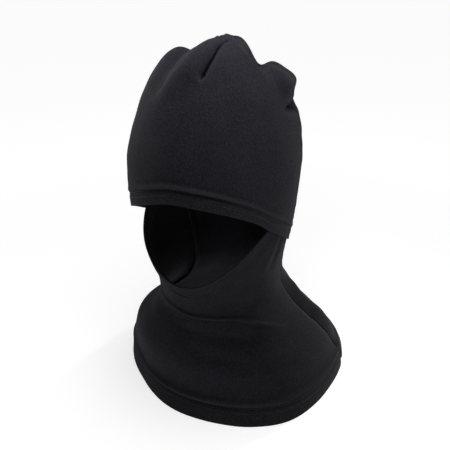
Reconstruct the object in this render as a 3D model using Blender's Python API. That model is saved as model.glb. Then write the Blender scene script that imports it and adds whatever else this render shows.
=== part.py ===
"""Balaclava: a fleece hood with a brimless cap, a shoulder cape and a face band that swings up as a mask.

Frame: +Z up, the wearer faces -Y and the wearer's left is +X. The cape's hem stands on z = 0 and the
origin is under the middle of the bounding box. All sizes are in metres and all angles in degrees.
The whole hood lies on one cloth surface. A place on it is (azimuth, run): the azimuth is 0 at the centre
front and grows towards the wearer's left, and the run is the distance walked up the cloth from the hem.
"""
import math

import bmesh
import bpy
import numpy as np
from mathutils import Vector

# Stations of the cloth surface, hem to apex: height, half width, reach to the front, reach to the back.
STATIONS = (
    (0.0000, 0.1200, 0.1280, 0.1303),  # cape hem
    (0.0130, 0.1190, 0.1230, 0.1240),
    (0.0320, 0.1110, 0.1190, 0.1080),
    (0.0580, 0.0960, 0.1180, 0.0850),  # shoulders
    (0.0840, 0.0740, 0.1060, 0.0640),
    (0.1050, 0.0630, 0.0960, 0.0520),  # neck
    (0.1270, 0.0615, 0.1030, 0.0490),
    (0.1530, 0.0655, 0.1140, 0.0520),  # chin
    (0.1840, 0.0715, 0.1215, 0.0560),
    (0.2210, 0.0760, 0.1262, 0.0600),  # brow
    (0.2630, 0.0770, 0.1262, 0.0585),
    (0.3050, 0.0690, 0.1150, 0.0500),
    (0.3370, 0.0550, 0.0980, 0.0280),  # crown
    (0.3600, 0.0330, 0.0800, -0.0080),
    (0.3700, 0.0000, 0.0420, -0.0420),  # apex
)

SEAM = 105.0  # azimuth of each side seam
PETAL_PUFF = 0.030  # how far the cloth between two crown seams bulges, as a share of the radius
PETAL_FROM = 0.285  # height where the crown's four petals start to show
APEX_HOLE = 0.004  # radius where the four petals end and the crown tack takes over

FLEECE = 0.0020  # thickness of one layer of brushed knit
GAP = 0.0004  # clearance between pieces that are sewn together
CAP_LIFT = 0.0016  # how far the cap stands proud of the cloth surface, to cover the mask's corners
FRONT_SINK = 0.0010  # how far the lower front panel lies under it

CAP_HEM_FRONT = 0.237  # height of the cap's hem at the centre front
CAP_HEM_DROP = 0.056  # how fast that hem falls towards the sides
CAP_HEM_WIDTH = 0.015
CAPE_HEM_WIDTH = 0.020
HEM_SWELL = 0.0012  # extra thickness of a turned hem

BAND_LOW = 0.140  # height of the face band's upper edge under the chin
BAND_RISE = 0.071  # how much higher that edge is at the pivots
BAND_EASE = 0.85  # how much the band's U levels off towards the pivots: 0 gives a parabola
BAND_WIDTH = 0.012
BAND_THICKNESS = 0.0030
BAND_SINK = 0.0028  # how far the band lies under the cloth surface, clear of the cap as it swings
PIVOT = 98.0  # azimuth of the mask's pivots, hidden under the cap
CORNER_ROOM = 0.0095  # distance kept free around a pivot

SEAM_WIDTH = 0.0050
SEAM_THICKNESS = 0.0022
SEAM_ROOM = 0.0007  # clearance between an allowance and the cloth over it
SEAM_START = 0.004  # where the side seams' allowances start, above the cape's edge
THREAD = 0.0008  # width of a row of stitches
ROW_SPACING = 0.0050  # distance between the two needle rows of a coverstitch
STITCH_SETBACK = 0.0015  # from a hem's inner edge to its upper row
HEM_STEP = 0.002  # length of the step from a turned hem to a single layer
SEAM_STEP = 0.010  # length over which a side seam's allowance comes up from behind the mask's corner
TACK_HEIGHT = 0.0030  # crown tack
TACK_TAPER = 0.8  # its upper radius, as a share of the lower one
BAR_WIDTH = 0.0012  # thread bar at a corner of the mask
BAR_LENGTH = 0.0080
LABEL_RUN = 0.030  # where the care label starts, from the cape's hem
LABEL_WIDTH = 0.020
LABEL_LENGTH = 0.030
LABEL_THICKNESS = 0.0008

# Facets: rows run up the cloth and columns run round it.
CROWN_ROWS = 11  # over the crown
SIDE_ROWS = 4  # between the cap's hem and the crown
BACK_ROWS = 15  # between the cape's hem and the crown, at the back
LOWER_ROWS = 13  # between the cape's hem and the face band
SINKING_ROWS = 5  # the first of those, over which the cloth sinks under the cap's level
DART_ROWS = 5  # along a dart
SEAM_ROWS = 14  # along a side seam below the cap
BAND_ROWS = 4
LABEL_ROWS = 4
LABEL_COLUMNS = 5
FRONT_COLUMNS = 23
BACK_COLUMNS = 17
BAND_COLUMNS = 29
BAND_STITCH_COLUMNS = 27
CAPE_STITCH_COLUMNS = 43
BAND_END_SHARES = (0.0, 0.45, 0.80, 0.97)  # columns round an end of the face band, as shares of its radius
BAND_TIP = 0.25  # half width left at the last of them, as a share of the full half width
LEVEL_RUN = 0.001  # offsets are level with the floor up to this run
SMOOTH_ANGLE = 40.0  # edges sharper than this stay sharp

FLEECE_BLACK = (0.013, 0.013, 0.015)
THREAD_BLACK = (0.020, 0.020, 0.022)
LABEL_WHITE = (0.720, 0.710, 0.690)


def measure_runs(stations):
    """The run of each station, measured along the surface's mean profile."""
    radius = (2 * stations[:, 1] + stations[:, 2] + stations[:, 3]) / 4
    steps = np.hypot(np.diff(stations[:, 0]), np.diff(radius))
    return np.concatenate([[0.0], np.cumsum(steps)])


PROFILE = np.array(STATIONS)
RUNS = measure_runs(PROFILE)
SLOPES = np.gradient(PROFILE, RUNS, axis=0)
TOP_RUN = RUNS[-1]


def profile_at(run):
    """Height, half width, front reach and back reach at a run, as a smooth curve through the stations."""
    run = min(max(run, 0.0), TOP_RUN)
    i = min(int(np.searchsorted(RUNS, run, side="right")) - 1, len(RUNS) - 2)
    span = RUNS[i + 1] - RUNS[i]
    t = (run - RUNS[i]) / span
    start = PROFILE[i] * (2 * t**3 - 3 * t**2 + 1) + SLOPES[i] * span * (t**3 - 2 * t**2 + t)
    end = PROFILE[i + 1] * (3 * t**2 - 2 * t**3) + SLOPES[i + 1] * span * (t**3 - t**2)
    return start + end


def last_run(low, high, holds):
    """The last run between low and high for which holds is true."""
    for _ in range(40):
        middle = (low + high) / 2
        if holds(profile_at(middle)):
            low = middle
        else:
            high = middle
    return low


def run_at(height):
    """The run at a height below the crown."""
    return last_run(0.0, TOP_RUN, lambda station: station[0] < height)


def petal(azimuth, height):
    """Radius factor of the crown, which bulges between its front, back and side seams."""
    turn = azimuth % 360.0
    seams = (0.0, SEAM, 180.0, 360.0 - SEAM, 360.0)
    side = max(i for i in range(4) if seams[i] <= turn)
    share = (turn - seams[side]) / (seams[side + 1] - seams[side])
    rise = min(max((height - PETAL_FROM) / (PROFILE[-1, 0] - PETAL_FROM), 0.0), 1.0)
    return 1 + PETAL_PUFF * (math.sin(math.pi * share) - 0.5) * rise * (3 - 2 * rise)


def surface(azimuth, run, puffed=True):
    """A point of the cloth surface, with or without the crown's petals."""
    height, half_width, front, back = profile_at(run)
    factor = petal(azimuth, height) if puffed else 1.0
    centre = (back - front) / 2
    half_depth = (back + front) / 2
    angle = math.radians(azimuth)
    x = half_width * factor * math.sin(angle)
    y = centre - half_depth * factor * math.cos(angle)
    return Vector((x, y, height))


def outward(azimuth, run):
    """Unit normal of the cloth surface, pointing out and blind to the creases between petals."""
    step = 0.002
    run = min(max(run, step), TOP_RUN - step)
    across = surface(azimuth + 1.0, run, False) - surface(azimuth - 1.0, run, False)
    along = surface(azimuth, run + step, False) - surface(azimuth, run - step, False)
    return across.cross(along).normalized()


def cloth_point(azimuth, run, offset):
    """A point off the cloth surface by offset. At the cape's edge it stays level with the floor."""
    normal = outward(azimuth, run)
    if run < LEVEL_RUN:
        normal = Vector((normal.x, normal.y, 0.0)).normalized()
    return surface(azimuth, run) + normal * offset


def steps(first, last, count):
    return [float(v) for v in np.linspace(first, last, count)]


def cap_hem(azimuth):
    """Run of the cap's hem: highest at the brow and lowest at the side seams."""
    return run_at(CAP_HEM_FRONT - CAP_HEM_DROP * (1 - math.cos(math.radians(azimuth))))


def band_top(azimuth):
    """Run of the face band's upper edge: a wide U from pivot to pivot under the chin."""
    share = min(abs(azimuth) / PIVOT, 1.0)
    return run_at(BAND_LOW + BAND_RISE * share**2 * (1 + BAND_EASE * (1 - share**2)))


def front_top(azimuth):
    """Run of the lower front panel's upper edge: just under the band, and clear of the pivots."""
    under_band = band_top(azimuth) - BAND_WIDTH - 2 * GAP
    under_pivot = band_top(PIVOT) - BAND_WIDTH / 2 - CORNER_ROOM
    return min(under_band, under_pivot)


def apex_run():
    """Run of the ring where the petals end."""
    return last_run(run_at(PETAL_FROM), TOP_RUN, lambda station: station[1] > APEX_HOLE)


def crown_runs():
    """Rows that the panels and seams of the crown share, so that their facets stay parallel."""
    return steps(run_at(PETAL_FROM), apex_run(), CROWN_ROWS)


def clear_scene():
    for old in list(bpy.data.objects):
        bpy.data.objects.remove(old, do_unlink=True)


def make_material(name, colour, roughness):
    material = bpy.data.materials.new(name)
    material.use_nodes = True
    shader = material.node_tree.nodes["Principled BSDF"]
    shader.inputs["Base Color"].default_value = (*colour, 1.0)
    shader.inputs["Roughness"].default_value = roughness
    shader.inputs["Metallic"].default_value = 0.0
    return material


def add_object(name, grids, material):
    """One object from closed slabs. A slab is an outer and an inner grid of points with equal shapes."""
    shape = bmesh.new()
    for outer, inner in grids:
        add_slab(shape, outer, inner)
    bmesh.ops.recalc_face_normals(shape, faces=shape.faces)
    return finish_object(name, shape, material)


def finish_object(name, shape, material):
    """An object from a bmesh, shaded smooth."""
    mesh = bpy.data.meshes.new(name)
    shape.to_mesh(mesh)
    shape.free()
    mesh.shade_smooth()
    mesh.set_sharp_from_angle(angle=math.radians(SMOOTH_ANGLE))
    mesh.materials.append(material)
    thing = bpy.data.objects.new(name, mesh)
    bpy.context.scene.collection.objects.link(thing)
    return thing


def add_slab(shape, outer, inner):
    """Faces of both grids and of the four rims between them."""
    top = [[shape.verts.new(p) for p in row] for row in outer]
    bottom = [[shape.verts.new(p) for p in row] for row in inner]
    rows, columns = len(top), len(top[0])
    for i in range(rows - 1):
        for j in range(columns - 1):
            shape.faces.new((top[i][j], top[i][j + 1], top[i + 1][j + 1], top[i + 1][j]))
            shape.faces.new((bottom[i][j], bottom[i + 1][j], bottom[i + 1][j + 1], bottom[i][j + 1]))
    for j in range(columns - 1):
        shape.faces.new((top[0][j], bottom[0][j], bottom[0][j + 1], top[0][j + 1]))
        shape.faces.new((top[-1][j], top[-1][j + 1], bottom[-1][j + 1], bottom[-1][j]))
    for i in range(rows - 1):
        shape.faces.new((top[i][0], top[i + 1][0], bottom[i + 1][0], bottom[i][0]))
        shape.faces.new((top[i][-1], bottom[i][-1], bottom[i + 1][-1], top[i + 1][-1]))


def sheet(azimuths, runs_at, outer, inner):
    """Two grids over a patch of cloth. runs_at(azimuth) lists the runs of its rows, and outer and inner
    hold the offsets of its two faces, one for each row. Its sides keep clear of the side seams."""
    columns = [runs_at(a) for a in azimuths]
    middle = (azimuths[0] + azimuths[-1]) / 2
    half = (azimuths[-1] - azimuths[0]) / 2
    faces = []
    for offsets in (outer, inner):
        rows = []
        for i, offset in enumerate(offsets):
            row = []
            for azimuth, runs in zip(azimuths, columns):
                trim = 1 - GAP / per_degree(SEAM, runs[i]) / half
                row.append(cloth_point(middle + (azimuth - middle) * trim, runs[i], offset))
            rows.append(row)
        faces.append(rows)
    return faces[0], faces[1]


def per_degree(azimuth, run):
    """Length along the cloth of one degree of azimuth."""
    return (surface(azimuth + 0.5, run, False) - surface(azimuth - 0.5, run, False)).length


def cap_front_panel(fleece):
    """Front half of the cap, side seam to side seam, with its hem turned up inside."""
    azimuths = steps(-SEAM, SEAM, FRONT_COLUMNS)

    def runs_at(azimuth):
        hem = cap_hem(azimuth)
        turned = hem + CAP_HEM_WIDTH
        plain = steps(turned + HEM_STEP, crown_runs()[0], SIDE_ROWS)[:-1]
        return [hem, hem + CAP_HEM_WIDTH / 2, turned] + plain + crown_runs()

    outer = [CAP_LIFT, CAP_LIFT + HEM_SWELL / 2, CAP_LIFT + HEM_SWELL / 2]
    outer += [CAP_LIFT] * (SIDE_ROWS - 1 + CROWN_ROWS)
    inner = [offset - FLEECE for offset in outer]
    return add_object("cap_front_panel", [sheet(azimuths, runs_at, outer, inner)], fleece)


def back_panel(fleece):
    """One piece from the cape's hem over the back of the head to the apex."""
    azimuths = steps(SEAM, 360.0 - SEAM, BACK_COLUMNS)
    plain = steps(CAPE_HEM_WIDTH + HEM_STEP, crown_runs()[0], BACK_ROWS)[:-1]
    runs = [0.0, CAPE_HEM_WIDTH / 2, CAPE_HEM_WIDTH] + plain + crown_runs()
    outer = [0.0] * len(runs)
    inner = [-FLEECE - HEM_SWELL] * 3 + [-FLEECE] * (len(runs) - 3)
    return add_object("back_panel", [sheet(azimuths, lambda azimuth: runs, outer, inner)], fleece)


def lower_front_panel(fleece):
    """Front of the neck and cape, from the hem to the face band, tucked under the cap at both sides."""
    azimuths = steps(-SEAM, SEAM, FRONT_COLUMNS)

    def runs_at(azimuth):
        plain = steps(CAPE_HEM_WIDTH + HEM_STEP, front_top(azimuth), LOWER_ROWS)
        return [0.0, CAPE_HEM_WIDTH / 2, CAPE_HEM_WIDTH] + plain

    outer = [0.0] * 3 + steps(0.0, -FRONT_SINK, SINKING_ROWS) + [-FRONT_SINK] * (LOWER_ROWS - SINKING_ROWS)
    inner = [-FLEECE - HEM_SWELL] * 3 + [offset - FLEECE for offset in outer[3:]]
    return add_object("lower_front_panel", [sheet(azimuths, runs_at, outer, inner)], fleece)


def band_half_width(azimuth):
    """Half the band's width. Past a pivot it follows a circle about it, so the end turns in place."""
    half = BAND_WIDTH / 2
    past = max(abs(azimuth) - PIVOT, 0.0) * per_degree(PIVOT, band_top(PIVOT))
    return math.sqrt(max(half**2 - past**2, (BAND_TIP * half) ** 2))


def band_azimuths():
    """Azimuths along the face band, closer together round its two ends."""
    reach = BAND_WIDTH / 2 / per_degree(PIVOT, band_top(PIVOT))
    end = [PIVOT + reach * share for share in BAND_END_SHARES]
    return [-a for a in end[::-1]] + steps(-PIVOT, PIVOT, BAND_COLUMNS)[1:-1] + end


def face_band(fleece):
    """The turned, double edge of the face opening, which swings up over the nose."""

    def runs_at(azimuth):
        middle = band_top(azimuth) - BAND_WIDTH / 2
        half = band_half_width(azimuth)
        return steps(middle - half, middle + half, BAND_ROWS)

    outer = [-BAND_SINK] * BAND_ROWS
    inner = [-BAND_SINK - BAND_THICKNESS] * BAND_ROWS
    return add_object("face_band", [sheet(band_azimuths(), runs_at, outer, inner)], fleece)


def meridian_strip(name, azimuth, runs, depths, material):
    """A flat seam allowance that lies inside the hood along one azimuth, depths below the surface."""
    outer, inner = [], []
    for run, depth in zip(runs, depths):
        half = SEAM_WIDTH / 2 / per_degree(azimuth, run)
        for face, offset in ((outer, -depth), (inner, -depth - SEAM_THICKNESS)):
            face.append([cloth_point(azimuth + half * side, run, offset) for side in (-1, 0, 1)])
    return add_object(name, [(outer, inner)], material)


def side_seam(name, side, thread):
    """Overlocked allowance of a side seam, from just above the cape's hem to the crown."""
    under_cap = run_at(BAND_LOW + BAND_RISE)
    lower = steps(SEAM_START, under_cap, SEAM_ROWS)
    upper = steps(under_cap + SEAM_STEP, crown_runs()[0], SIDE_ROWS)[:-1] + crown_runs()[:-1]
    runs = lower + upper
    depths = [FLEECE + HEM_SWELL + SEAM_ROOM] * len(lower) + [FLEECE + SEAM_ROOM] * len(upper)
    return meridian_strip(name, side * SEAM, runs, depths, thread)


def dart_seam(name, azimuth, face_depth, thread):
    """Overlocked allowance of a dart, from the crown down its length."""
    runs = crown_runs()[-DART_ROWS - 1 : -1]
    return meridian_strip(name, azimuth, runs, [face_depth + SEAM_ROOM] * DART_ROWS, thread)


def stitch_row(name, azimuths, run_of, face, thread):
    """A line of thread on the outside of the cloth."""

    def runs_at(azimuth):
        middle = run_of(azimuth)
        return [middle - THREAD / 2, middle + THREAD / 2]

    outer = [face + GAP + THREAD / 2] * 2
    inner = [face + GAP] * 2
    return add_object(name, [sheet(azimuths, runs_at, outer, inner)], thread)


def coverstitches(thread):
    """The two needle rows of each hem: cap, face band and cape."""
    cap_face = CAP_LIFT + HEM_SWELL / 2
    for row, setback in (("upper", STITCH_SETBACK), ("lower", STITCH_SETBACK + ROW_SPACING)):
        azimuths = steps(-SEAM, SEAM, FRONT_COLUMNS)
        name = f"cap_hem_{row}_stitches"
        stitch_row(name, azimuths, lambda a, s=setback: cap_hem(a) + CAP_HEM_WIDTH - s, cap_face, thread)
        azimuths = steps(-PIVOT, PIVOT, BAND_STITCH_COLUMNS)
        drop = setback + (BAND_WIDTH - ROW_SPACING) / 2 - STITCH_SETBACK
        name = f"face_band_{row}_stitches"
        stitch_row(name, azimuths, lambda a, d=drop: band_top(a) - d, -BAND_SINK, thread)
        azimuths = steps(-180.0, 180.0, CAPE_STITCH_COLUMNS)
        name = f"cape_hem_{row}_stitches"
        stitch_row(name, azimuths, lambda a, s=setback: CAPE_HEM_WIDTH - s, 0.0, thread)


def crown_tack(thread):
    """Thread knot in the small round opening where the four petals meet."""
    height, half_width, front, back = profile_at(apex_run())
    radius = min(half_width, (front + back) / 2) - 2 * GAP
    shape = bmesh.new()
    top = radius * TACK_TAPER
    bmesh.ops.create_cone(shape, cap_ends=True, segments=20, radius1=radius, radius2=top, depth=TACK_HEIGHT)
    bmesh.ops.translate(shape, verts=shape.verts, vec=(0.0, (back - front) / 2, height - TACK_HEIGHT / 4))
    return finish_object("crown_tack", shape, thread)


def mask_tack(name, side, thread):
    """Bar of thread between a corner of the face band and its side seam."""
    middle = band_top(PIVOT) - BAND_WIDTH / 2
    degree = per_degree(PIVOT, middle)
    azimuth = PIVOT + (BAND_WIDTH / 2 + GAP + BAR_WIDTH) / degree
    half = BAR_WIDTH / 2 / degree
    outer, inner = [], []
    for run in (middle - BAR_LENGTH / 2, middle + BAR_LENGTH / 2):
        for face, offset in ((outer, -BAND_SINK), (inner, -BAND_SINK - BAR_WIDTH)):
            face.append([cloth_point(side * azimuth + half * end, run, offset) for end in (-1, 1)])
    return add_object(name, [(outer, inner)], thread)


def care_label(satin):
    """Blank folded label, caught in the wearer's left side seam inside the cape."""
    depth = FLEECE + SEAM_ROOM
    outer, inner = [], []
    for run in steps(LABEL_RUN, LABEL_RUN + LABEL_WIDTH, LABEL_ROWS):
        degree = per_degree(SEAM, run)
        start = SEAM + (SEAM_WIDTH / 2 + GAP) / degree
        azimuths = steps(start, start + LABEL_LENGTH / degree, LABEL_COLUMNS)
        outer.append([cloth_point(a, run, -depth) for a in azimuths])
        inner.append([cloth_point(a, run, -depth - LABEL_THICKNESS) for a in azimuths])
    return add_object("care_label", [(outer, inner)], satin)


def build():
    clear_scene()
    fleece = make_material("black_fleece", FLEECE_BLACK, 0.95)
    thread = make_material("black_thread", THREAD_BLACK, 0.60)
    label = make_material("label_satin", LABEL_WHITE, 0.45)
    cap_front_panel(fleece)
    back_panel(fleece)
    lower_front_panel(fleece)
    face_band(fleece)
    for side, wearer in ((1, "left"), (-1, "right")):
        side_seam(f"{wearer}_side_seam", side, thread)
        mask_tack(f"{wearer}_mask_tack", side, thread)
    dart_seam("front_dart_seam", 0.0, FLEECE - CAP_LIFT, thread)
    dart_seam("back_dart_seam", 180.0, FLEECE, thread)
    crown_tack(thread)
    coverstitches(thread)
    care_label(label)


build()
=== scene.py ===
"""Looks of the balaclava: brushed black fleece sewn from a cap, a back panel, a lower front and a face band.

Same frame as the CAD: +Z up, the wearer faces -Y, metres and degrees. A place on the cloth is (azimuth,
run): azimuth 0 is the centre front and grows towards the wearer's left, and the run is the distance
walked up the cloth from the hem.
"""
import math
from collections import namedtuple

import bpy
import numpy as np
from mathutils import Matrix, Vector


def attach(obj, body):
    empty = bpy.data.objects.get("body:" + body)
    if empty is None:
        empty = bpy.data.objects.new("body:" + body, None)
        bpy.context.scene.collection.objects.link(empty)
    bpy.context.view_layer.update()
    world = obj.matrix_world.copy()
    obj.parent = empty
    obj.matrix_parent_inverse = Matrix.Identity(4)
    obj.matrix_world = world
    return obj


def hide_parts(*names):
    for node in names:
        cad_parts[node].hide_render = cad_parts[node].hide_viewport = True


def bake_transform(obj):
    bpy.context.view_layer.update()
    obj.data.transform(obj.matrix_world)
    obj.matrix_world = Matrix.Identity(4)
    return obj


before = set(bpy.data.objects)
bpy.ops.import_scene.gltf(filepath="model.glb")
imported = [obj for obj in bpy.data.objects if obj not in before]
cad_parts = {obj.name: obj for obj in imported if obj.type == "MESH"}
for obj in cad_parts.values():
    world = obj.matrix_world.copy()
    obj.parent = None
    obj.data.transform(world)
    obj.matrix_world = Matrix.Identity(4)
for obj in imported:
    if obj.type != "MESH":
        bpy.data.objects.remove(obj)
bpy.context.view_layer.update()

# ---------------------------------------------------------------- cloth surface, as in the CAD source

# Stations, hem to apex: height, half width, reach to the front, reach to the back.
STATIONS = (
    (0.0000, 0.1200, 0.1280, 0.1303),
    (0.0130, 0.1190, 0.1230, 0.1240),
    (0.0320, 0.1110, 0.1190, 0.1080),
    (0.0580, 0.0960, 0.1180, 0.0850),
    (0.0840, 0.0740, 0.1060, 0.0640),
    (0.1050, 0.0630, 0.0960, 0.0520),
    (0.1270, 0.0615, 0.1030, 0.0490),
    (0.1530, 0.0655, 0.1140, 0.0520),
    (0.1840, 0.0715, 0.1215, 0.0560),
    (0.2210, 0.0760, 0.1262, 0.0600),
    (0.2630, 0.0770, 0.1262, 0.0585),
    (0.3050, 0.0690, 0.1150, 0.0500),
    (0.3370, 0.0550, 0.0980, 0.0280),
    (0.3600, 0.0330, 0.0800, -0.0080),
    (0.3700, 0.0000, 0.0420, -0.0420),
)
FLEECE = 0.0020  # one layer of cloth
CAP_LIFT = 0.0016  # how far the cap stands proud, over the mask's corners
FRONT_SINK = 0.0010  # how far the lower front lies under the cloth surface
BAND_SINK = 0.0028  # how far the face band lies under it where it passes the cap
CAP_HEM_WIDTH = 0.015
CAPE_HEM_WIDTH = 0.020
BAND_LOW = 0.140  # height of the face band's upper edge in front
BAND_RISE = 0.071  # how much higher it is at its corners
BAND_EASE = 0.85  # how much of the climb it makes early
BAND_WIDTH = 0.012
PIVOT = 98.0  # azimuth of the corners, where the mask turns
APEX_RADIUS = 0.0045  # of the ring where the petals end

# Azimuth and height of the cap's hem, and height and azimuth of the left side seam; the right one mirrors it.
CAP_HEM = ((-115, 0.158), (-105, 0.163), (-80, 0.184), (-60, 0.201), (-41, 0.215), (-14, 0.231), (2, 0.237),
           (23, 0.235), (46, 0.224), (63, 0.210), (73, 0.198), (86, 0.185), (97, 0.174), (105, 0.167),
           (115, 0.160))
SEAM_PATH = ((0.000, 109.0), (0.060, 109.0), (0.105, 113.0), (0.145, 114.0), (0.180, 112.0), (0.250, 115.0),
             (0.290, 113.0), (0.312, 111.0), (0.330, 115.0), (0.350, 119.0), (0.366, 120.0))
# Azimuth of the cape and how wide it stands on the floor, as a share of the stations. The share fades to 1
# at the height CAPE_REACH_TOP.
CAPE_REACH = ((-180, 1.00), (-110, 1.00), (-85, 1.01), (-70, 0.995), (-55, 0.945), (-40, 0.914), (-20, 0.922),
              (0, 0.955), (20, 0.998), (40, 1.062), (54, 1.088), (70, 1.062), (90, 1.024), (120, 1.020),
              (150, 1.00), (180, 1.00))
CAPE_REACH_TOP = 0.080
# Where the cloth is fuller than the stations: azimuth, height, how far it spreads in both, share of the radius.
FULLNESS = (
    (-62.0, 0.215, 42.0, 0.080, 0.060),  # wearer's right cheek and temple
    (112.0, 0.060, 24.0, 0.028, 0.085),  # left shoulder
    (-88.0, 0.058, 26.0, 0.024, 0.070),  # right shoulder
)

# ---------------------------------------------------------------- look

GRID = 0.0014  # spacing of the cloth's mesh
# Width and height of each panel, which set how many columns and rows its mesh has.
CAP_SPAN = (0.34, 0.20)
BACK_SPAN = (0.24, 0.44)
LOWER_SPAN = (0.34, 0.20)
HEM_THICK = 0.0036
BAND_THICK = 0.0030
BAND_GAP = 0.0004  # between the face band and the lower front under it
CORNER_DROP = 0.0095  # how far the lower front ends under the middle of the band's corners
EDGE_ROUND = 0.0020
SEAM_GUESS = 110.0  # azimuth from which the search for a side seam starts

SEAM_WIDTH = 0.0050  # of the allowances inside
SEAM_THICK = 0.0010  # half of an allowance's thickness
SEAM_DEPTH = 0.0011  # how far an allowance's middle lies inside the cloth
LOOP_DEPTH = 0.0022  # and its overlock loops
LOOP_SPACING = 0.0022
LOOP_SLANT = 0.0015
LOOP_RISE = 0.0002  # how far a thread arches over the cloth
LOOP_RADIUS = 0.00022
STITCH_LENGTH = 0.0026
STITCH_GAP = 0.0006
STITCH_RISE = 0.00010
STITCH_RADIUS = 0.00035
KNOT_RISE = 0.0008
KNOT_RADIUS = 0.0009
BAR_ASIDE = 0.0012  # how far a corner's bar tack stands past the end of the face band
BAR_HALF = 0.0040
BAR_SPACING = 0.0005
BAR_RISE = 0.0002
BAR_RADIUS = 0.0004
STITCH_SETBACK = 0.0015  # how far the upper row lies under the hem's inner edge
NEEDLE_ROWS = 0.0050  # distance between the two rows of a coverstitch
BAND_ROW_DROP = 0.0020  # how much lower the rows lie on the face band
CAP_ROW_END = 112.0  # azimuth where the cap's rows end
THREAD_SIDES = 6
FLAT_SIDES = 24  # points along each half of the label

LABEL_LENGTH = 0.030  # folded in half
LABEL_WIDTH = 0.020
LABEL_LOW = 0.030  # height of its lower edge
LABEL_BEND = 0.0006  # distance between its two layers
LABEL_DEPTH = 0.0028  # how far it lies inside the cloth
LABEL_HALF_THICK = 0.00011

# A fold lifts the cloth along a path of (azimuth, height). It fades over the widths above and below the path
# (left and right of it as it is drawn), as a bell at power 2 and as a crease at power 1, and over a share of
# its length at each end.
Fold = namedtuple("Fold", "path lift above below power fades")

CROWN_FOLDS = (
    # front dart: a sharp crease from the apex, and the round ridge beside it
    Fold(((70, 0.3668), (45, 0.3655), (31, 0.3575), (24, 0.3500), (18, 0.3400)), -0.0085, 0.0022, 0.0022, 1,
         (0.3, 0.15)),
    Fold(((40, 0.3672), (14, 0.3640), (4, 0.3560), (-7, 0.3430), (-20, 0.3270), (-30, 0.3110)),
         0.0030, 0.0140, 0.0060, 2, (0.2, 0.5)),
    Fold(((48, 0.3668), (24, 0.3615), (12, 0.3520), (2, 0.3400), (-8, 0.3250)), 0.0035, 0.0090, 0.0090, 2,
         (0.1, 0.5)),
    # lump on the wearer's left, and the side seam's notch under it
    Fold(((88, 0.3290), (112, 0.3250), (145, 0.3180)), 0.0075, 0.0140, 0.0090, 2, (0.3, 0.3)),
    Fold(((84, 0.3110), (100, 0.3070), (116, 0.3040), (136, 0.3020)), -0.0080, 0.0045, 0.0045, 2, (0.5, 0.4)),
)
# Valleys that sink the crown, drawn in plan: paths of (x, y).
CROWN_VALLEYS = (
    # behind the front ridge, down to the wearer's right
    Fold(((-0.0420, 0.0100), (-0.0245, -0.0260), (-0.0185, -0.0455), (-0.0190, -0.0690), (-0.0235, -0.0946),
          (-0.0285, -0.1146)), -0.0165, 0.0095, 0.0140, 2, (0.1, 0.45)),
    # from the back of the crown to a pocket on the wearer's left
    Fold(((0.0033, 0.0423), (0.0232, 0.0018), (0.0345, -0.0270), (0.0410, -0.0500)), -0.0150, 0.0100, 0.0100, 2,
         (0.1, 0.15)),
    # and the pocket's deepest part
    Fold(((0.0265, -0.0350), (0.0330, -0.0265), (0.0385, -0.0180)), -0.0060, 0.0050, 0.0040, 2, (0.2, 0.2)),
)
APEX_AT = (0.0, -0.042)
APEX_PULL = (0.0075, 0.0043)  # how far the gathered apex is pulled aside
APEX_PULL_REACH = 0.030
LOWER_FOLDS = (
    # the bib hangs over a sharp fold across the chest, with hollows under it
    Fold(((-56, 0.1130), (-46, 0.1080), (-30, 0.1070), (-14, 0.1060), (4, 0.1030), (25, 0.1020), (45, 0.0990),
          (66, 0.0880), (86, 0.0760)), 0.0026, 0.0150, 0.0080, 2, (0.15, 0.25)),
    Fold(((-50, 0.1105), (-46, 0.1090), (-30, 0.1080), (-14, 0.1070), (4, 0.1040), (25, 0.1030), (45, 0.1000),
          (66, 0.0890), (86, 0.0770)), 0.0017, 0.0024, 0.0016, 2, (0.30, 0.15)),
    Fold(((-20, 0.0900), (10, 0.0870), (35, 0.0840), (60, 0.0760)), -0.0030, 0.0060, 0.0100, 2, (0.3, 0.3)),
    Fold(((0, 0.0730), (22, 0.0690), (50, 0.0560)), -0.0025, 0.0100, 0.0100, 2, (0.3, 0.3)),
    # small gathers that hang from the cap's corner
    Fold(((97, 0.1800), (94, 0.1600), (88, 0.1350)), 0.0006, 0.0040, 0.0040, 2, (0.0, 0.6)),
    Fold(((92, 0.1830), (88, 0.1600), (80, 0.1370)), -0.0008, 0.0036, 0.0036, 2, (0.0, 0.6)),
    Fold(((86, 0.1830), (81, 0.1620), (72, 0.1400)), 0.0008, 0.0040, 0.0040, 2, (0.0, 0.6)),
)
BACK_FOLDS = (
    # full left shoulder behind the side seam
    Fold(((134, 0.1080), (126, 0.0920), (121, 0.0760), (118, 0.0520), (116, 0.0300)), 0.0048, 0.0130, 0.0090, 2,
         (0.3, 0.4)),
    Fold(((150, 0.1700), (150, 0.1200), (142, 0.0700)), 0.0030, 0.0110, 0.0110, 2, (0.3, 0.3)),
    Fold(((212, 0.1600), (210, 0.1100), (220, 0.0500)), 0.0030, 0.0120, 0.0120, 2, (0.3, 0.3)),
    Fold(((180, 0.1500), (178, 0.1000), (182, 0.0400)), -0.0025, 0.0120, 0.0120, 2, (0.3, 0.3)),
)

CAMERA_PLACE = (0.3334, -0.5985, 0.4950)  # about 0.73 m from the middle of the hood
CAMERA_TURN = 30.0  # azimuth that the camera stands at
CAMERA_DIP = 25.9  # how far it looks down
CAMERA_LENS = 56.96  # millimetres on a 36 mm sensor


def measure_runs(stations):
    """The run of each station, measured along the surface's mean profile."""
    radius = (2 * stations[:, 1] + stations[:, 2] + stations[:, 3]) / 4
    steps = np.hypot(np.diff(stations[:, 0]), np.diff(radius))
    return np.concatenate([[0.0], np.cumsum(steps)])


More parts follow.
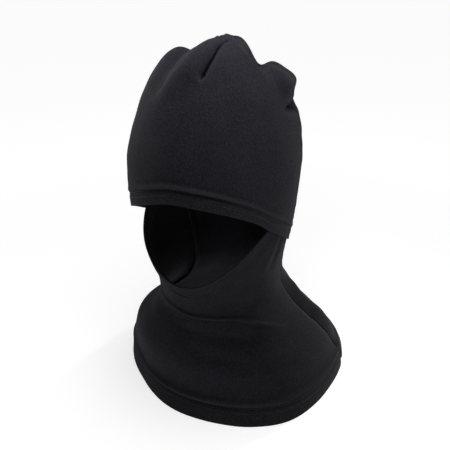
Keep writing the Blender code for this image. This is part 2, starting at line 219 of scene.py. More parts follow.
PROFILE = np.array(STATIONS)
RUNS = measure_runs(PROFILE)
SLOPES = np.gradient(PROFILE, RUNS, axis=0)
TOP_RUN = RUNS[-1]


def smooth(share):
    share = np.clip(share, 0.0, 1.0)
    return share * share * (3 - 2 * share)


def wrapped(azimuth):
    """The same direction as an angle from -180 to 180 degrees."""
    return (azimuth + 180.0) % 360.0 - 180.0


def hermite(low, high, low_slope, high_slope, span, t):
    """A smooth curve from low to high with those slopes, at the share t of its span."""
    start = low * (2 * t**3 - 3 * t**2 + 1) + low_slope * span * (t**3 - 2 * t**2 + t)
    end = high * (3 * t**2 - 2 * t**3) + high_slope * span * (t**3 - t**2)
    return start + end


def smooth_table(table, where):
    """A smooth curve through the pairs of a table."""
    at, value = np.array(table, dtype=float).T
    slope = np.gradient(value, at)
    i = np.clip(np.searchsorted(at, where, side="right") - 1, 0, len(at) - 2)
    span = at[i + 1] - at[i]
    t = np.clip((where - at[i]) / span, 0.0, 1.0)
    return hermite(value[i], value[i + 1], slope[i], slope[i + 1], span, t)


def profile_at(run):
    """Height, half width, front reach and back reach at each run."""
    run = np.clip(run, 0.0, TOP_RUN)
    i = np.clip(np.searchsorted(RUNS, run, side="right") - 1, 0, len(RUNS) - 2)
    span = (RUNS[i + 1] - RUNS[i])[..., None]
    t = (run - RUNS[i])[..., None] / span
    return np.moveaxis(hermite(PROFILE[i], PROFILE[i + 1], SLOPES[i], SLOPES[i + 1], span, t), -1, 0)


RUN_TABLE = np.linspace(0.0, TOP_RUN, 4000)
HEIGHT_TABLE = np.maximum.accumulate(profile_at(RUN_TABLE)[0])


def run_at(height):
    return np.interp(height, HEIGHT_TABLE, RUN_TABLE)


def mean_radius(run):
    height, half_width, front, back = profile_at(run)
    return (2 * half_width + front + back) / 4


def surface(azimuth, run):
    """Points of the cloth surface before its folds."""
    height, half_width, front, back = profile_at(run)
    angle = np.radians(azimuth)
    reach = smooth_table(CAPE_REACH, wrapped(azimuth))
    factor = 1 + (reach - 1) * smooth(1 - height / CAPE_REACH_TOP)
    for at, level, turns, rise, share in FULLNESS:
        aside, above = wrapped(azimuth - at) / turns, (height - level) / rise
        factor = factor + share * np.exp(-(aside**2) - above**2)
    x = half_width * factor * np.sin(angle)
    y = (back - front) / 2 - (back + front) / 2 * factor * np.cos(angle)
    return np.stack([x, y, height], axis=-1)


def outward(azimuth, run):
    """Unit normals of the cloth surface, level with the floor at the cape's edge."""
    step = 0.002
    run = np.clip(run, step, TOP_RUN - step)
    across = surface(azimuth + 1.0, run) - surface(azimuth - 1.0, run)
    along = surface(azimuth, run + step) - surface(azimuth, run - step)
    normal = np.cross(across, along)
    normal[..., 2] *= smooth(run / 0.006 - 0.3)
    return normal / np.linalg.norm(normal, axis=-1, keepdims=True)


def crown_sink(points):
    """The lift of the crown's valleys at each point, below zero where they sink it."""
    x, y, height = points[..., 0], points[..., 1], points[..., 2]
    sink = sum(stroke(valley, np.array(valley.path), x, y, 1.0) for valley in CROWN_VALLEYS)
    return sink * smooth((height - 0.300) / 0.035)


def place(azimuth, run, offset):
    """Points off the cloth surface by offset, with the crown's valleys and the pull on its apex."""
    points = surface(azimuth, run)
    sink = crown_sink(points)
    from_apex = (points[..., 0] - APEX_AT[0]) ** 2 + (points[..., 1] - APEX_AT[1]) ** 2
    near = np.exp(-(from_apex / APEX_PULL_REACH**2)) * smooth((points[..., 2] - 0.330) / 0.025)
    points = points + outward(azimuth, run) * offset[..., None]
    points[..., 2] += sink
    points[..., 0] += APEX_PULL[0] * near
    points[..., 1] += APEX_PULL[1] * near
    return points


def seam_azimuth(run):
    """Azimuth of the left side seam."""
    return smooth_table(SEAM_PATH, profile_at(run)[0])


def cap_hem(azimuth):
    return run_at(smooth_table(CAP_HEM, azimuth))


def band_top(azimuth):
    share = np.minimum(np.abs(azimuth) / PIVOT, 1.0)
    return run_at(BAND_LOW + BAND_RISE * share**2 * (1 + BAND_EASE * (1 - share**2)))


# ---------------------------------------------------------------- folds


def smooth_path(points, count=6):
    """A Catmull-Rom curve through a path's points."""
    points = np.vstack([2 * points[0] - points[1], points, 2 * points[-1] - points[-2]])
    curve = []
    for i in range(1, len(points) - 2):
        before, start, end, after = points[i - 1 : i + 3]
        for t in np.arange(count) / count:
            curve.append(
                0.5 * (2 * start + (end - before) * t + (2 * before - 5 * start + 4 * end - after) * t**2
                       + (3 * start - before - 3 * end + after) * t**3)
            )
    curve.append(points[-2])
    return np.array(curve)


def stroke(fold, path, across, along, scale):
    """How far a fold lifts each place. across is an angle in degrees, or metres where scale is 1."""
    curve = smooth_path(path)
    nearest = np.full(np.shape(across), 1.0)
    share = np.zeros(np.shape(across))
    side = np.zeros(np.shape(across))
    for i in range(len(curve) - 1):
        turn = wrapped(across - curve[i, 0])
        ex, ey = (curve[i + 1, 0] - curve[i, 0]) * scale, curve[i + 1, 1] - curve[i, 1]
        px, py = turn * scale, along - curve[i, 1]
        t = np.clip((px * ex + py * ey) / (ex * ex + ey * ey + 1e-12), 0.0, 1.0)
        distance = np.hypot(px - t * ex, py - t * ey)
        closer = distance < nearest
        nearest = np.where(closer, distance, nearest)
        share = np.where(closer, (i + t) / (len(curve) - 1), share)
        side = np.where(closer, ex * py - ey * px, side)
    width = np.where(side > 0, fold.above, fold.below)
    lift = fold.lift * np.exp(-((nearest / width) ** fold.power))
    start, end = fold.fades
    if start:
        lift = lift * smooth(share / start)
    if end:
        lift = lift * smooth((1 - share) / end)
    return lift


def fold_offset(fold, azimuth, run):
    """How far one fold lifts each place of the cloth."""
    path = np.array([(turn, run_at(height)) for turn, height in fold.path], dtype=float)
    return stroke(fold, path, azimuth, run, mean_radius(run) * math.radians(1))


def folded(folds, azimuth, run):
    return sum((fold_offset(fold, azimuth, run) for fold in folds), np.zeros(np.shape(azimuth)))


def waves(azimuth, run):
    """Slow unevenness of soft cloth, under a millimetre."""
    rng = np.random.default_rng(3)
    total = np.zeros(np.shape(azimuth))
    girth = math.tau * 0.09  # about what the cloth measures round
    for size, height in ((0.085, 0.0004), (0.050, 0.0002), (0.024, 0.0001)):
        for _ in range(4):
            heading, phase = rng.uniform(0, math.tau, 2)
            turns = max(round(girth * abs(math.cos(heading)) / size), 1)
            travel = np.radians(azimuth) * turns + math.tau * run * math.sin(heading) / size
            total += height * np.sin(travel + phase) / 2
    return total


def groove(distance, depth, width):
    """A narrow valley centred on distance 0."""
    return -depth * np.exp(-((distance / width) ** 2))


def seam_dip(distance):
    """The cloth's face turning down into a seam, and the soft pull beside it."""
    inside = np.clip(1 - distance / EDGE_ROUND, 0.0, 1.0)
    turned = EDGE_ROUND * (1 - np.sqrt(1 - inside**2))
    return -0.8 * turned + groove(distance, 0.0018, 0.0050)


def seam_distance(azimuth, run):
    """Distance from the nearer side seam."""
    turn = np.abs(wrapped(azimuth)) - seam_azimuth(run)
    return np.abs(turn) * mean_radius(run) * math.radians(1)


def puckers(azimuth, run):
    """Small gathers along the side seams."""
    spacing, height, reach = 0.021, 0.0003, 0.012
    pulled = np.sin(math.tau * run / spacing + 1.2 * np.sin(run * 90.0))
    return height * pulled * np.exp(-((seam_distance(azimuth, run) / reach) ** 2))


# ---------------------------------------------------------------- faces of the four cloth pieces


def cap_face(azimuth, run):
    """Offset of the cap's outside, with its hem tuck."""
    up = run - cap_hem(azimuth)
    tuck = np.exp(-(((azimuth - 18.0) / 42.0) ** 2))  # the hem is drawn in over the brow
    hem = groove(up - CAP_HEM_WIDTH + 0.001, 0.0006 + 0.0020 * tuck, 0.0018)
    roll = (0.0004 + 0.0030 * tuck) * np.exp(-(((up - CAP_HEM_WIDTH - 0.0025) / 0.0026) ** 2))
    face = CAP_LIFT + hem + roll + folded(CROWN_FOLDS, azimuth, run) + waves(azimuth, run)
    return face + seam_dip(seam_distance(azimuth, run)) + puckers(azimuth, run)


def back_face(azimuth, run):
    """Offset of the back panel's outside."""
    distance = seam_distance(azimuth, run)
    height = profile_at(run)[0]
    meets_cap = smooth((height - 0.165) / 0.02)
    level = CAP_LIFT * meets_cap - FRONT_SINK * (1 - meets_cap) * smooth((height - 0.03) / 0.04)
    face = level * np.exp(-((distance / 0.020) ** 2))
    face = face + folded(CROWN_FOLDS + BACK_FOLDS, azimuth, run) + waves(azimuth, run)
    return face + seam_dip(distance) + puckers(azimuth, run) + cape_hem_line(azimuth, run)


def cape_hem_line(azimuth, run):
    """Groove and roll where the cape's hem is stitched."""
    tuck = 0.35 + 0.65 * np.exp(-(((azimuth - 2.0) / 40.0) ** 2))  # most in front
    line = groove(run - CAPE_HEM_WIDTH + 0.001, 0.0020 * tuck, 0.0024)
    return line + 0.0038 * tuck * np.exp(-(((run - CAPE_HEM_WIDTH - 0.0035) / 0.0042) ** 2))


def lower_face(azimuth, run):
    """Offset of the lower front's outside."""
    height = profile_at(run)[0]
    face = -FRONT_SINK * smooth((height - 0.03) / 0.04)
    face = face + folded(LOWER_FOLDS, azimuth, run) + waves(azimuth, run)
    under_band = band_top(azimuth) - BAND_WIDTH - run
    face = face - band_drop(azimuth) * np.exp(-((under_band / 0.008) ** 2))
    return face + seam_dip(seam_distance(azimuth, run)) + puckers(azimuth, run) + cape_hem_line(azimuth, run)


def cape_face(azimuth, run):
    """Offset of the cape's outside all round."""
    in_front = np.abs(wrapped(azimuth)) < seam_azimuth(run)
    return np.where(in_front, lower_face(azimuth, run), back_face(azimuth, run))


def band_drop(azimuth):
    """How much deeper the band lies than the lower front, so that it passes under the cap."""
    return (BAND_SINK - FRONT_SINK) * smooth((np.abs(azimuth) - 45.0) / 25.0)


def band_face(azimuth, run):
    """Offset of the face band's outside: level with the lower front, and sunk where it passes the cap."""
    under_rows = band_top(azimuth) - run - STITCH_SETBACK - BAND_ROW_DROP
    rib_spacing, degree = 0.0026, 0.0016
    ribs = 0.00015 * np.sin(math.tau * azimuth * degree / rib_spacing)
    rows = groove(under_rows, 0.0004, 0.0008) + groove(under_rows - NEEDLE_ROWS, 0.0004, 0.0008)
    return -FRONT_SINK - band_drop(azimuth) + 0.0002 + ribs + rows


# ---------------------------------------------------------------- meshes


def add_mesh(name, points, faces, uvs, material):
    mesh = bpy.data.meshes.new(name)
    mesh.from_pydata(points.tolist(), [], [list(face) for face in faces])
    if uvs is not None:
        layer = mesh.uv_layers.new(name="cloth")
        corners = np.empty(len(mesh.loops), dtype=np.int64)
        mesh.loops.foreach_get("vertex_index", corners)
        layer.data.foreach_set("uv", uvs[corners].ravel())
    mesh.shade_smooth()
    mesh.materials.append(material)
    thing = bpy.data.objects.new(name, mesh)
    bpy.context.scene.collection.objects.link(thing)
    return thing


def slab(name, outer, inner, uvs, material):
    """A closed sheet between two grids of points."""
    rows, columns = outer.shape[:2]
    count = rows * columns
    number = np.arange(count).reshape(rows, columns)
    quads = np.stack([number[:-1, :-1], number[:-1, 1:], number[1:, 1:], number[1:, :-1]], -1).reshape(-1, 4)
    rim = np.concatenate([number[0, :-1], number[:-1, -1], number[-1, :0:-1], number[:0:-1, 0]])
    after = np.roll(rim, -1)
    sides = np.stack([rim, rim + count, after + count, after], -1)
    faces = np.concatenate([quads, quads[:, ::-1] + count, sides])
    points = np.concatenate([outer.reshape(-1, 3), inner.reshape(-1, 3)])
    return add_mesh(name, points, faces, np.concatenate([uvs.reshape(-1, 2)] * 2), material)


def spread(length, dense=(True, True)):
    """Places along a length from 0 to 1, closer together where an end is rounded."""
    plain = np.linspace(0.0, 1.0, int(length / GRID))
    near = np.array([0.06, 0.2, 0.4, 0.65, 0.95]) * EDGE_ROUND / length
    extra = ([near] if dense[0] else []) + ([1 - near] if dense[1] else [])
    return np.unique(np.concatenate([plain] + extra))


def hem_thickness(up, width, thick):
    """Thickness of a turned hem: a rounded edge, then double cloth, then a single layer."""
    double = thick + (FLEECE - thick) * smooth((up - width) / 0.002)
    inside = np.clip(1 - up / EDGE_ROUND, 0.0, 0.999)
    return double * np.sqrt(1 - inside**2)


def cloth_piece(name, azimuths, runs, face, thickness, material):
    """A closed sheet over a grid of places, with its rounded edges in the middle of the cloth."""
    full = np.maximum(thickness, FLEECE)
    outer = face(azimuths, runs) - (full - thickness) / 2
    u = (azimuths - azimuths.mean()) * mean_radius(runs) * math.radians(1)
    uvs = np.stack([u, runs], -1)
    return slab(name, place(azimuths, runs, outer), place(azimuths, runs, outer - thickness), uvs, material)


def top_run():
    """Run of the ring where the petals end."""
    return float(np.interp(-APEX_RADIUS, -mean_radius(RUN_TABLE[2000:]), RUN_TABLE[2000:]))


def make_cap(material):
    across = spread(CAP_SPAN[0]) * 2 - 1
    up = spread(CAP_SPAN[1], dense=(True, False))
    top = top_run()
    azimuth = across[None, :] * SEAM_GUESS * np.ones((len(up), 1))
    for _ in range(3):  # the seam's azimuth and the hem's run depend on each other
        hem = cap_hem(azimuth)
        run = hem + (top - hem) * up[:, None]
        azimuth = across[None, :] * seam_azimuth(run)
    thickness = hem_thickness(run - cap_hem(azimuth), CAP_HEM_WIDTH, HEM_THICK)
    return cloth_piece("cap_front_cloth", azimuth, run, cap_face, thickness, material)


def make_back(material):
    across = spread(BACK_SPAN[0]) * 2 - 1
    up = spread(BACK_SPAN[1], dense=(True, False))
    run = (up * top_run())[:, None] * np.ones((1, len(across)))
    azimuth = 180.0 + across[None, :] * (180.0 - seam_azimuth(run))
    thickness = hem_thickness(run, CAPE_HEM_WIDTH, HEM_THICK)
    return cloth_piece("back_cloth", azimuth, run, back_face, thickness, material)


def make_lower_front(material):
    across = spread(LOWER_SPAN[0]) * 2 - 1
    up = spread(LOWER_SPAN[1])
    corner = band_top(PIVOT) - BAND_WIDTH / 2
    azimuth = across[None, :] * SEAM_GUESS * np.ones((len(up), 1))
    for _ in range(3):  # the seam's azimuth and the panel's top depend on each other
        top = np.minimum(band_top(azimuth) - BAND_WIDTH - BAND_GAP, corner - CORNER_DROP)
        run = top * up[:, None]
        azimuth = across[None, :] * seam_azimuth(run)
    thickness = hem_thickness(run, CAPE_HEM_WIDTH, HEM_THICK)
    return cloth_piece("lower_front_cloth", azimuth, run, lower_face, thickness, material)


def make_band(material):
    """The folded edge of the face opening, with round ends at the pivots."""
    azimuth = np.linspace(-PIVOT, PIVOT, 240)
    reach = BAND_WIDTH / 2 / (mean_radius(band_top(PIVOT)) * math.radians(1))
    ends = PIVOT + reach * np.array([0.3, 0.55, 0.75, 0.9, 0.98])
    azimuth = np.concatenate([-ends[::-1], azimuth, ends])
    past = np.clip((np.abs(azimuth) - PIVOT) / reach, 0.0, 0.98)
    half = BAND_WIDTH / 2 * np.sqrt(1 - past**2)
    across = np.sin(np.linspace(-0.5, 0.5, 17) * math.pi)
    run = band_top(azimuth)[None, :] - BAND_WIDTH / 2 + across[:, None] * half[None, :]
    azimuth = azimuth[None, :] * np.ones((len(across), 1))
    thickness = BAND_THICK * np.sqrt(1.02 - across[:, None] ** 6) * np.ones_like(run)
    return cloth_piece("face_band_cloth", azimuth, run, band_face, thickness, material)


def threads(name, starts, ends, normals, rise, radius, material):
    """Separate lengths of thread that arch from starts to ends and dive into the cloth at both."""
    starts, ends, normals = np.array(starts), np.array(ends), np.array(normals)
    shares = np.array([0.0, 0.14, 0.38, 0.62, 0.86, 1.0])
    sizes = radius * np.array([0.30, 0.85, 1.0, 1.0, 0.85, 0.30])
    arch = rise * np.array([-0.9, 0.35, 1.0, 1.0, 0.35, -0.9])
    along = ends - starts
    side = np.cross(along, normals)
    side /= np.linalg.norm(side, axis=1, keepdims=True) + 1e-12
    turns = np.arange(THREAD_SIDES) * math.tau / THREAD_SIDES
    middle = starts[:, None] + along[:, None] * shares[None, :, None] + normals[:, None] * arch[None, :, None]
    ring = np.cos(turns)[:, None, None] * side[None] + np.sin(turns)[:, None, None] * normals[None]
    points = middle[:, :, None] + ring.transpose(1, 0, 2)[:, None] * sizes[None, :, None, None]
    count, rings = len(starts), len(shares)
    base = (np.arange(count) * rings * THREAD_SIDES)[:, None, None]
    row = base + (np.arange(rings - 1) * THREAD_SIDES)[None, :, None]
    after = row + THREAD_SIDES
    j = np.arange(THREAD_SIDES)[None, None, :]
    k = (j + 1) % THREAD_SIDES
    faces = np.stack([row + j, row + k, after + k, after + j], -1).reshape(-1, 4).tolist()
    for first in base.ravel().tolist():
        last = first + (rings - 1) * THREAD_SIDES
        faces.append([first + n for n in reversed(range(THREAD_SIDES))])
        faces.append([last + n for n in range(THREAD_SIDES)])
    return add_mesh(name, points.reshape(-1, 3), faces, None, material)


def travel_along(points):
    """Distance walked to each point of a line."""
    return np.concatenate([[0.0], np.cumsum(np.linalg.norm(np.diff(points, axis=0), axis=1))])


def sample(where, travel, values):
    """Values of a line, such as its points or normals, at distances along it."""
    return np.stack([np.interp(where, travel, values[:, k]) for k in range(3)], axis=1)


def stitch_row(name, azimuths, runs, face, material):
    """A row of stitches laid on the cloth along a path."""
    line = place(azimuths, runs, face(azimuths, runs))
    normals = outward(azimuths, runs)
    travel = travel_along(line)
    begin = np.arange(0.001, travel[-1] - STITCH_LENGTH, STITCH_LENGTH + STITCH_GAP)
    starts = sample(begin, travel, line)
    ends = sample(begin + STITCH_LENGTH, travel, line)
    up = sample(begin + STITCH_LENGTH / 2, travel, normals)
    return threads(name, starts, ends, up, STITCH_RISE, STITCH_RADIUS, material)


def hem_stitches(material):
    """The two needle rows of each hem: cap, face band and cape."""
    made = {}
    turn = np.linspace(-1.0, 1.0, 500)
    cap, band, cape = turn * CAP_ROW_END, turn * PIVOT, turn * 180.0
    for row, setback in (("upper", STITCH_SETBACK), ("lower", STITCH_SETBACK + NEEDLE_ROWS)):
        run = cap_hem(cap) + CAP_HEM_WIDTH - setback
        made[f"cap_hem_{row}"] = stitch_row(f"cap_hem_{row}_thread", cap, run, cap_face, material)
        run = band_top(band) - setback - BAND_ROW_DROP
        made[f"face_band_{row}"] = stitch_row(f"face_band_{row}_thread", band, run, band_face, material)
        run = np.full(len(cape), CAPE_HEM_WIDTH - setback)
        made[f"cape_hem_{row}"] = stitch_row(f"cape_hem_{row}_thread", cape, run, cape_face, material)
    return made


def seam_strip(name, azimuths, runs, face, material):
    """Overlocked allowance under a seam: two trimmed edges held by slanting loops of thread."""
    half = SEAM_WIDTH / 2
    points = place(azimuths, runs, face(azimuths, runs) - FLEECE)
    normals = outward(azimuths, runs)
    along = np.gradient(points, axis=0)
    side = np.cross(normals, along)
    side /= np.linalg.norm(side, axis=1, keepdims=True)
    rounding = np.array([-1.0, -0.92, -0.7, 0.0, 0.7, 0.92, 1.0])
    thick = SEAM_THICK * np.sqrt(1.02 - np.abs(rounding) ** 4)
    spine = points[:, None] + side[:, None] * (rounding * half)[None, :, None]
    spine = spine - normals[:, None] * SEAM_DEPTH
    lift = normals[:, None] * thick[None, :, None]
    uvs = np.stack(np.broadcast_arrays(rounding[None, :] * half, runs[:, None]), -1)
    strip = slab(name, spine + lift, spine - lift, uvs, material)
    travel = travel_along(points)
    where = np.arange(0.001, travel[-1] - 0.003, LOOP_SPACING)
    inside = points - normals * LOOP_DEPTH
    reach = sample(where, travel, side) * half * 0.9
    starts = sample(where, travel, inside) - reach
    ends = sample(where + LOOP_SLANT, travel, inside) + reach
    inward = -sample(where, travel, normals)
    loops = threads(name + "_overlock", starts, ends, inward, LOOP_RISE, LOOP_RADIUS, material)
    return strip, loops


def inner_seams(material):
    """Allowances of the side seams and of the two darts, with the node that each stands for."""
    made = {}
    run = np.linspace(0.006, run_at(0.3600), 320)
    edge = seam_azimuth(run)
    made["left_side_seam"] = seam_strip("left_side_allowance", edge, run, back_face, material)
    made["right_side_seam"] = seam_strip("right_side_allowance", 360.0 - edge, run, back_face, material)
    run = np.linspace(run_at(0.3420), run_at(0.3660), 40)
    turn = np.interp(run, run_at(np.array([0.3400, 0.3500, 0.3575, 0.3655])), [18.0, 24.0, 31.0, 45.0])
    made["front_dart_seam"] = seam_strip("front_dart_allowance", turn, run, cap_face, material)
    made["back_dart_seam"] = seam_strip("back_dart_allowance", np.full(40, 180.0), run, back_face, material)
    return made


def crown_knot(material):
    """Threads that draw the four petals together at the apex."""
    turns = np.arange(0.0, 180.0, 22.5)
    run = np.full(len(turns), top_run() - 0.0010)
    starts = place(turns, run, np.full(len(turns), -0.0004))
    ends = place(turns + 180.0, run, np.full(len(turns), -0.0004))
    up = np.tile([0.0, 0.0, 1.0], (len(turns), 1))
    return threads("crown_knot", starts, ends, up, KNOT_RISE, KNOT_RADIUS, material)


def corner_bar(name, side, material):
    """Bar tack between a corner of the face band and its side seam."""
    middle = band_top(PIVOT) - BAND_WIDTH / 2
    degree = float(mean_radius(np.array(middle))) * math.radians(1)
    aside = np.array([-1.0, -0.5, 0.0, 0.5, 1.0]) * BAR_SPACING
    azimuth = side * (PIVOT + (BAND_WIDTH / 2 + BAR_ASIDE) / degree + aside / degree)
    depth = np.full(len(aside), -BAND_SINK - 0.0004)
    starts = place(azimuth, np.full(len(aside), middle - BAR_HALF), depth)
    ends = place(azimuth, np.full(len(aside), middle + BAR_HALF), depth)
    normals = outward(azimuth, np.full(len(aside), middle))
    return threads(name, starts, ends, normals, BAR_RISE, BAR_RADIUS, material)


def folded_label(material):
    """A strip of satin folded in half, caught in the left side seam inside the cape."""
    out = np.linspace(0.0, LABEL_LENGTH, FLAT_SIDES)
    home = np.linspace(LABEL_LENGTH, 0.002, FLAT_SIDES)
    travel = np.concatenate([out, [LABEL_LENGTH + LABEL_BEND * 0.7], home])
    layer = np.concatenate([np.full(FLAT_SIDES, 0.0), [0.5], np.full(FLAT_SIDES, 1.0)])
    run = np.linspace(LABEL_LOW, LABEL_LOW + LABEL_WIDTH, 14)
    degree = mean_radius(run) * math.radians(1)
    azimuth = seam_azimuth(run)[:, None] + (SEAM_WIDTH / 2 + 0.0006 + travel[None, :]) / degree[:, None]
    runs = run[:, None] * np.ones((1, len(travel)))
    curl = 0.0016 * (travel / LABEL_LENGTH) ** 2
    offset = np.broadcast_to(-FLEECE - LABEL_DEPTH - layer * LABEL_BEND - curl, azimuth.shape)
    middle = place(azimuth, runs, offset)
    normal = np.cross(np.gradient(middle, axis=1), np.gradient(middle, axis=0))
    half = normal / np.linalg.norm(normal, axis=-1, keepdims=True) * LABEL_HALF_THICK
    uvs = np.stack(np.broadcast_arrays(np.cumsum(np.abs(np.gradient(travel)))[None, :], runs), -1)
    return slab("care_label_tape", middle + half, middle - half, uvs, material)


# ---------------------------------------------------------------- materials

WALE = 0.0013  # spacing of the knit's columns
COURSE = 0.0010  # and of its rows
FLEECE_DARK = (0.0044, 0.0042, 0.0060, 1.0)
FLEECE_LIGHT = (0.0165, 0.0160, 0.0206, 1.0)
THREAD_DARK = (0.004, 0.004, 0.005, 1.0)
THREAD_LIGHT = (0.012, 0.012, 0.014, 1.0)
SATIN_DARK = (0.66, 0.65, 0.62, 1.0)
SATIN_LIGHT = (0.78, 0.77, 0.75, 1.0)


class Nodes:
    """Short calls for building a material's nodes."""

    def __init__(self, name):
        self.material = bpy.data.materials.new(name)
        self.material.use_nodes = True
        self.tree = self.material.node_tree
        self.shader = self.tree.nodes["Principled BSDF"]

    def add(self, kind, settings=(), inputs=()):
        node = self.tree.nodes.new(kind)
        for key, value in dict(settings).items():
            setattr(node, key, value)
        for key, value in dict(inputs).items():
            self.feed(node, key, value)
        return node

    def feed(self, node, key, value):
        if isinstance(value, bpy.types.NodeSocket):
            self.tree.links.new(value, node.inputs[key])
        else:
            node.inputs[key].default_value = value

    def maths(self, operation, first, second=0.0):
        return self.add("ShaderNodeMath", {"operation": operation}, {0: first, 1: second}).outputs[0]

    def noise(self, vector, scale, detail=2.0, roughness=0.5):
        node = self.add("ShaderNodeTexNoise", {}, {"Vector": vector, "Scale": scale, "Detail": detail,
                                                   "Roughness": roughness})
        return node.outputs["Fac"]

    def ramp(self, value, low, high, out_low=0.0, out_high=1.0):
        node = self.add("ShaderNodeMapRange", {}, {"Value": value, "From Min": low, "From Max": high,
                                                   "To Min": out_low, "To Max": out_high})
        return node.outputs[0]

    def mix(self, share, first, second):
        node = self.add("ShaderNodeMix", {"data_type": "RGBA"}, {0: share, 6: first, 7: second})
        return node.outputs[2]


def fleece_material():
    """Brushed knit: fibre specks, faint wales and courses, slow brushing marks, and painted highlight on ridges
    with painted shade in creases.
    """
    nodes = Nodes("black_fleece")
    place = nodes.add("ShaderNodeTexCoord").outputs["Object"]
    uv = nodes.add("ShaderNodeUVMap", {"uv_map": "cloth"}).outputs["UV"]
    split = nodes.add("ShaderNodeSeparateXYZ", {}, {0: uv})
    wale = nodes.maths("SINE", nodes.maths("MULTIPLY", split.outputs[0], math.tau / WALE))
    course = nodes.maths("SINE", nodes.maths("MULTIPLY", split.outputs[1], math.tau / COURSE))
    knit = nodes.maths("ADD", wale, nodes.maths("MULTIPLY", course, 0.5))
    fibre = nodes.noise(place, 1500.0, 3.0, 0.7)
    tuft = nodes.noise(place, 640.0, 2.0, 0.6)
    brush = nodes.noise(place, 42.0, 3.0, 0.55)
    tone = nodes.maths("ADD", nodes.maths("MULTIPLY", fibre, 0.55), nodes.maths("MULTIPLY", tuft, 0.45))
    tone = nodes.maths("ADD", tone, nodes.maths("MULTIPLY", knit, 0.050))
    tone = nodes.maths("ADD", tone, nodes.maths("MULTIPLY", brush, 0.07))
    # painted highlight along ridges and painted shade in creases, taken from the surface's pointiness
    ridge_highlight_crease_shade = nodes.add("ShaderNodeNewGeometry").outputs["Pointiness"]
    tone = nodes.maths("ADD", tone, nodes.ramp(ridge_highlight_crease_shade, 0.46, 0.54, -0.13, 0.13))
    share = nodes.ramp(tone, 0.43, 0.66)
    nodes.feed(nodes.shader, "Base Color", nodes.mix(share, FLEECE_DARK, FLEECE_LIGHT))
    nodes.feed(nodes.shader, "Roughness", nodes.ramp(fibre, 0.3, 0.7, 0.88, 1.0))
    nodes.shader.inputs["Specular IOR Level"].default_value = 0.08
    nodes.shader.inputs["Sheen Weight"].default_value = 0.020
    nodes.shader.inputs["Sheen Roughness"].default_value = 0.45
    nodes.shader.inputs["Sheen Tint"].default_value = (0.90, 0.90, 1.0, 1.0)
    height = nodes.maths("ADD", nodes.maths("MULTIPLY", fibre, 0.6), nodes.maths("MULTIPLY", tuft, 0.8))
    height = nodes.maths("ADD", height, nodes.maths("MULTIPLY", knit, 0.10))
    bump = nodes.add("ShaderNodeBump", {}, {"Height": height, "Strength": 0.75, "Distance": 0.0006})
    nodes.feed(nodes.shader, "Normal", bump.outputs[0])
    return nodes.material


def thread_material():
    """Twisted polyester thread."""
    nodes = Nodes("black_thread")
    place = nodes.add("ShaderNodeTexCoord").outputs["Object"]
    twist = nodes.add("ShaderNodeTexWave", {},
                      {"Vector": place, "Scale": 420.0, "Distortion": 2.0, "Detail": 2.0})
    fuzz = nodes.noise(place, 2400.0, 2.0)
    share = nodes.maths("MULTIPLY", nodes.maths("ADD", twist.outputs["Fac"], fuzz), 0.5)
    nodes.feed(nodes.shader, "Base Color", nodes.mix(share, THREAD_DARK, THREAD_LIGHT))
    nodes.feed(nodes.shader, "Roughness", nodes.ramp(fuzz, 0.3, 0.7, 0.5, 0.75))
    nodes.shader.inputs["Specular IOR Level"].default_value = 0.20
    nodes.shader.inputs["Sheen Weight"].default_value = 0.02
    bump = nodes.add("ShaderNodeBump", {}, {"Height": share, "Strength": 0.5, "Distance": 0.0002})
    nodes.feed(nodes.shader, "Normal", bump.outputs[0])
    return nodes.material


def satin_material():
    """Woven satin tape of the blank label."""
    nodes = Nodes("label_satin")
    place = nodes.add("ShaderNodeTexCoord").outputs["Object"]
    weave = nodes.add("ShaderNodeTexWave", {"bands_direction": "Z"},
                      {"Vector": place, "Scale": 300.0, "Distortion": 0.6}).outputs["Fac"]
    soil = nodes.noise(place, 90.0, 3.0)
    share = nodes.maths("ADD", nodes.maths("MULTIPLY", weave, 0.3), nodes.maths("MULTIPLY", soil, 0.6))
    nodes.feed(nodes.shader, "Base Color", nodes.mix(share, SATIN_DARK, SATIN_LIGHT))
    nodes.feed(nodes.shader, "Roughness", nodes.ramp(soil, 0.3, 0.7, 0.35, 0.55))
    bump = nodes.add("ShaderNodeBump", {}, {"Height": weave, "Strength": 0.3, "Distance": 0.0001})
    nodes.feed(nodes.shader, "Normal", bump.outputs[0])
    return nodes.material


# ---------------------------------------------------------------- studio

ROOM_LIGHT = 0.17  # strength of the room's light on things
ROOM_SEEN = 0.96  # and how bright the room itself looks
FLOOR_HALF = 12.0
FLOOR_DARK = (0.59, 0.59, 0.59, 1.0)
FLOOR_LIGHT = (0.61, 0.61, 0.61, 1.0)
FLOOR_GLOW_SHADED_NEAR_HOOD = (0.67, 0.86)  # glow near the hood, lower as painted shade, and away from it
GLOW_REACH = (0.12, 0.70)
CROWN = (0.0, -0.03, 0.33)
# Soft lights: name, place, target, width and height, watts, spread in degrees.
SOFTBOXES = (
    ("top_box", (0.03, -0.12, 0.58), CROWN, (0.20, 0.20), 1.35, 180.0),
    ("back_box", (0.00, 0.10, 0.60), CROWN, (0.22, 0.22), 0.35, 180.0),
    ("front_box", (0.50, -1.60, 0.45), (0.0, -0.05, 0.02), (0.50, 0.30), 0.08, 24.0),
    ("right_box", (0.90, 0.30, 0.42), CROWN, (0.40, 0.16), 0.19, 24.0),
    ("left_box", (-0.90, 0.00, 0.42), (0.0, -0.03, 0.36), (0.40, 0.16), 0.17, 24.0),
    ("shoulder_box", (0.30, 0.95, 0.42), (0.09, 0.04, 0.09), (0.30, 0.20), 0.25, 20.0),
)


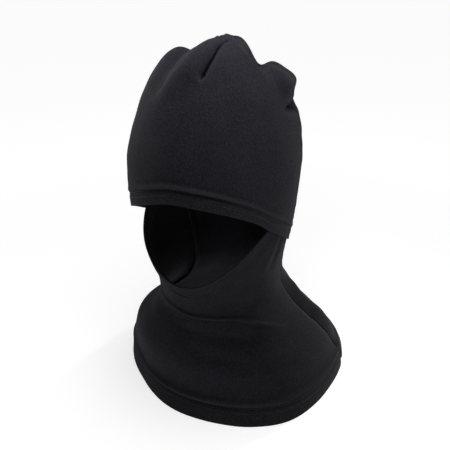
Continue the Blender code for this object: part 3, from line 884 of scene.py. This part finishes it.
def make_floor():
    """A white sweep that glows a little, and less round the hood as painted shade, so that its shadow stays
    soft and light.
    """
    corners = [(x * FLOOR_HALF, y * FLOOR_HALF, 0.0) for x, y in ((-1, -1), (1, -1), (1, 1), (-1, 1))]
    mesh = bpy.data.meshes.new("floor")
    mesh.from_pydata(corners, [], [(0, 1, 2, 3)])
    floor = bpy.data.objects.new("floor", mesh)
    bpy.context.scene.collection.objects.link(floor)
    nodes = Nodes("pale_floor")
    place = nodes.add("ShaderNodeTexCoord").outputs["Object"]
    grain = nodes.noise(place, 60.0, 2.0)
    nodes.feed(nodes.shader, "Base Color", nodes.mix(grain, FLOOR_DARK, FLOOR_LIGHT))
    nodes.shader.inputs["Roughness"].default_value = 0.9
    nodes.shader.inputs["Specular IOR Level"].default_value = 0.0
    nodes.shader.inputs["Emission Color"].default_value = (1.0, 1.0, 1.0, 1.0)
    distance = nodes.add("ShaderNodeVectorMath", {"operation": "LENGTH"}, {0: place}).outputs["Value"]
    # painted shade: the floor glows less near the hood than far from it
    nodes.feed(nodes.shader, "Emission Strength", nodes.ramp(distance, *GLOW_REACH, *FLOOR_GLOW_SHADED_NEAR_HOOD))
    mesh.materials.append(nodes.material)


def add_softbox(name, place, target, size, power, beam):
    """A soft light at a place, turned to a target."""
    light = bpy.data.lights.new(name, "AREA")
    light.shape = "RECTANGLE"
    light.size, light.size_y = size
    light.energy = power
    light.spread = math.radians(beam)
    box = bpy.data.objects.new(name, light)
    box.location = place
    box.rotation_euler = (Vector(place) - Vector(target)).to_track_quat("Z", "Y").to_euler()
    bpy.context.scene.collection.objects.link(box)


def make_world():
    """A dim white room for the light, seen as white as the floor behind the hood."""
    world = bpy.data.worlds.new("studio")
    world.use_nodes = True
    tree = world.node_tree
    background = tree.nodes["Background"]
    background.inputs["Color"].default_value = (1.0, 1.0, 1.0, 1.0)
    seen = tree.nodes.new("ShaderNodeLightPath")
    strength = tree.nodes.new("ShaderNodeMapRange")
    strength.inputs["To Min"].default_value = ROOM_LIGHT
    strength.inputs["To Max"].default_value = ROOM_SEEN
    tree.links.new(seen.outputs["Is Camera Ray"], strength.inputs["Value"])
    tree.links.new(strength.outputs["Result"], background.inputs["Strength"])
    bpy.context.scene.world = world


def make_camera():
    camera = bpy.data.cameras.new("camera")
    camera.lens = CAMERA_LENS
    camera.sensor_width = 36.0
    camera.clip_end = 60.0
    thing = bpy.data.objects.new("camera", camera)
    thing.location = CAMERA_PLACE
    thing.rotation_euler = (math.radians(90.0 - CAMERA_DIP), 0.0, math.radians(CAMERA_TURN))
    bpy.context.scene.collection.objects.link(thing)
    bpy.context.scene.camera = thing


# ---------------------------------------------------------------- build

fleece = fleece_material()
thread = thread_material()
satin = satin_material()

cap = make_cap(fleece)
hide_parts("cap_front_panel")
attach(cap, "hood")

back = make_back(fleece)
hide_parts("back_panel")
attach(back, "hood")

lower = make_lower_front(fleece)
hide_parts("lower_front_panel")
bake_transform(lower)

band = make_band(fleece)
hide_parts("face_band")
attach(band, "mask")

for row, piece in hem_stitches(thread).items():
    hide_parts(row + "_stitches")
    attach(piece, "mask" if row.startswith("face_band") else "hood")
for node, (strip, loops) in inner_seams(thread).items():
    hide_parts(node)
    for piece in (strip, loops):
        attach(piece, "hood")
for node, piece in (("crown_tack", crown_knot(thread)),
                    ("left_mask_tack", corner_bar("left_corner_bar", 1, thread)),
                    ("right_mask_tack", corner_bar("right_corner_bar", -1, thread))):
    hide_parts(node)
    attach(piece, "hood")
label = folded_label(satin)
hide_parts("care_label")
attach(label, "hood")

make_floor()
make_world()
for softbox in SOFTBOXES:
    add_softbox(*softbox)
make_camera()
bpy.context.scene.view_settings.view_transform = "Standard"
